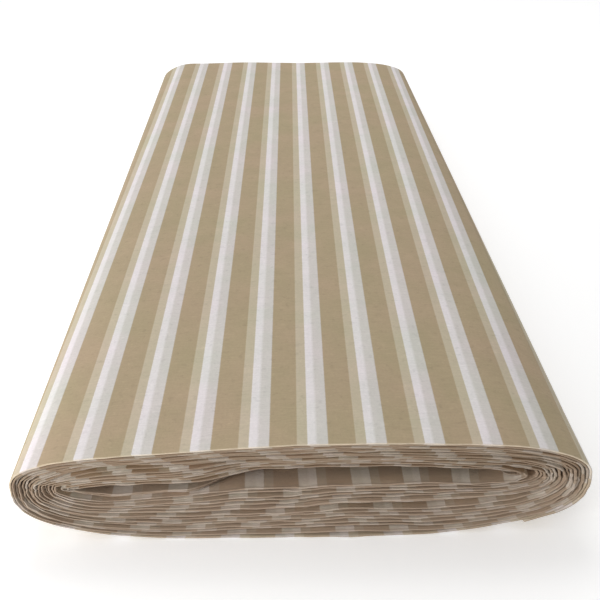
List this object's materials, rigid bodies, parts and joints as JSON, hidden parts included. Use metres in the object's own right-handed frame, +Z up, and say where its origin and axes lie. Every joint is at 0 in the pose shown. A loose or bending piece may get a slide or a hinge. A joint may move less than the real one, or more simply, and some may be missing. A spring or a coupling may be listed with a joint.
{
  "type": "fabric bolt",
  "caption": "Flat-wound bolt of striped upholstery cloth on a recessed corrugated board, with a free outer end that lifts and an open slit at each end.",
  "frame": {"origin": "centre of the bolt's bounding box in plan, at the height of the face it rests on", "axes": "+Y along the cloth's width (the bolt's length), away from the dished near end; +X across the flat bolt, to the right seen from the near end; +Z up through the bolt's thickness"},
  "size_m": [0.5861, 1.428, 0.1208],
  "materials": {
    "wrap_01": "soft brushed weave, tan, cream and white stripes along the bolt",
    "wrap_02": "soft brushed weave, tan, cream and white stripes along the bolt",
    "wrap_03": "soft brushed weave, tan, cream and white stripes along the bolt",
    "wrap_04": "soft brushed weave, tan, cream and white stripes along the bolt",
    "wrap_05": "soft brushed weave, tan, cream and white stripes along the bolt",
    "wrap_06": "soft brushed weave, tan, cream and white stripes along the bolt",
    "wrap_07": "soft brushed weave, tan, cream and white stripes along the bolt",
    "wrap_08": "soft brushed weave, tan, cream and white stripes along the bolt",
    "wrap_09": "soft brushed weave, tan, cream and white stripes along the bolt",
    "wrap_10": "soft brushed weave, tan, cream and white stripes along the bolt",
    "wrap_11": "soft brushed weave, tan, cream and white stripes along the bolt",
    "wrap_12": "soft brushed weave, tan, cream and white stripes along the bolt",
    "wrap_13": "soft brushed weave, tan, cream and white stripes along the bolt",
    "wrap_14": "soft brushed weave, tan, cream and white stripes along the bolt",
    "wrap_15": "soft brushed weave, tan, cream and white stripes along the bolt",
    "wrap_16": "soft brushed weave, tan, cream and white stripes along the bolt",
    "wrap_17": "soft brushed weave, tan, cream and white stripes along the bolt",
    "wrap_18": "soft brushed weave, tan, cream and white stripes along the bolt",
    "tail_flap": "soft brushed weave, tan, cream and white stripes along the bolt",
    "board_top_liner": "matt kraft paper",
    "board_fluting": "matt kraft paper",
    "board_bottom_liner": "matt kraft paper"
  },
  "bodies": {
    "bolt": {"wrap_01": "wrap_01", "wrap_02": "wrap_02", "wrap_03": "wrap_03", "wrap_04": "wrap_04", "wrap_05": "wrap_05", "wrap_06": "wrap_06", "wrap_07": "wrap_07", "wrap_08": "wrap_08", "wrap_09": "wrap_09", "wrap_10": "wrap_10", "wrap_11": "wrap_11", "wrap_12": "wrap_12", "wrap_13": "wrap_13", "wrap_14": "wrap_14", "wrap_15": "wrap_15", "wrap_16": "wrap_16", "wrap_17": "wrap_17", "wrap_18": "wrap_18"},
    "tail": {"tail_flap": "tail_flap"},
    "board": {"board_top_liner": "board_top_liner", "board_fluting": "board_fluting", "board_bottom_liner": "board_bottom_liner"}
  },
  "joints": [
    {"name": "tail_lift", "type": "hinge", "parent": "bolt", "child": "tail", "pos_m": [0.29464, -0.014, 0.07022], "axis": [0, -1, 0], "range_deg": [0, 120]},
    {"name": "board_slide", "type": "slide", "parent": "bolt", "child": "board", "axis": [0, -1, 0], "range_m": [-1.36, 1.36]}
  ]
}
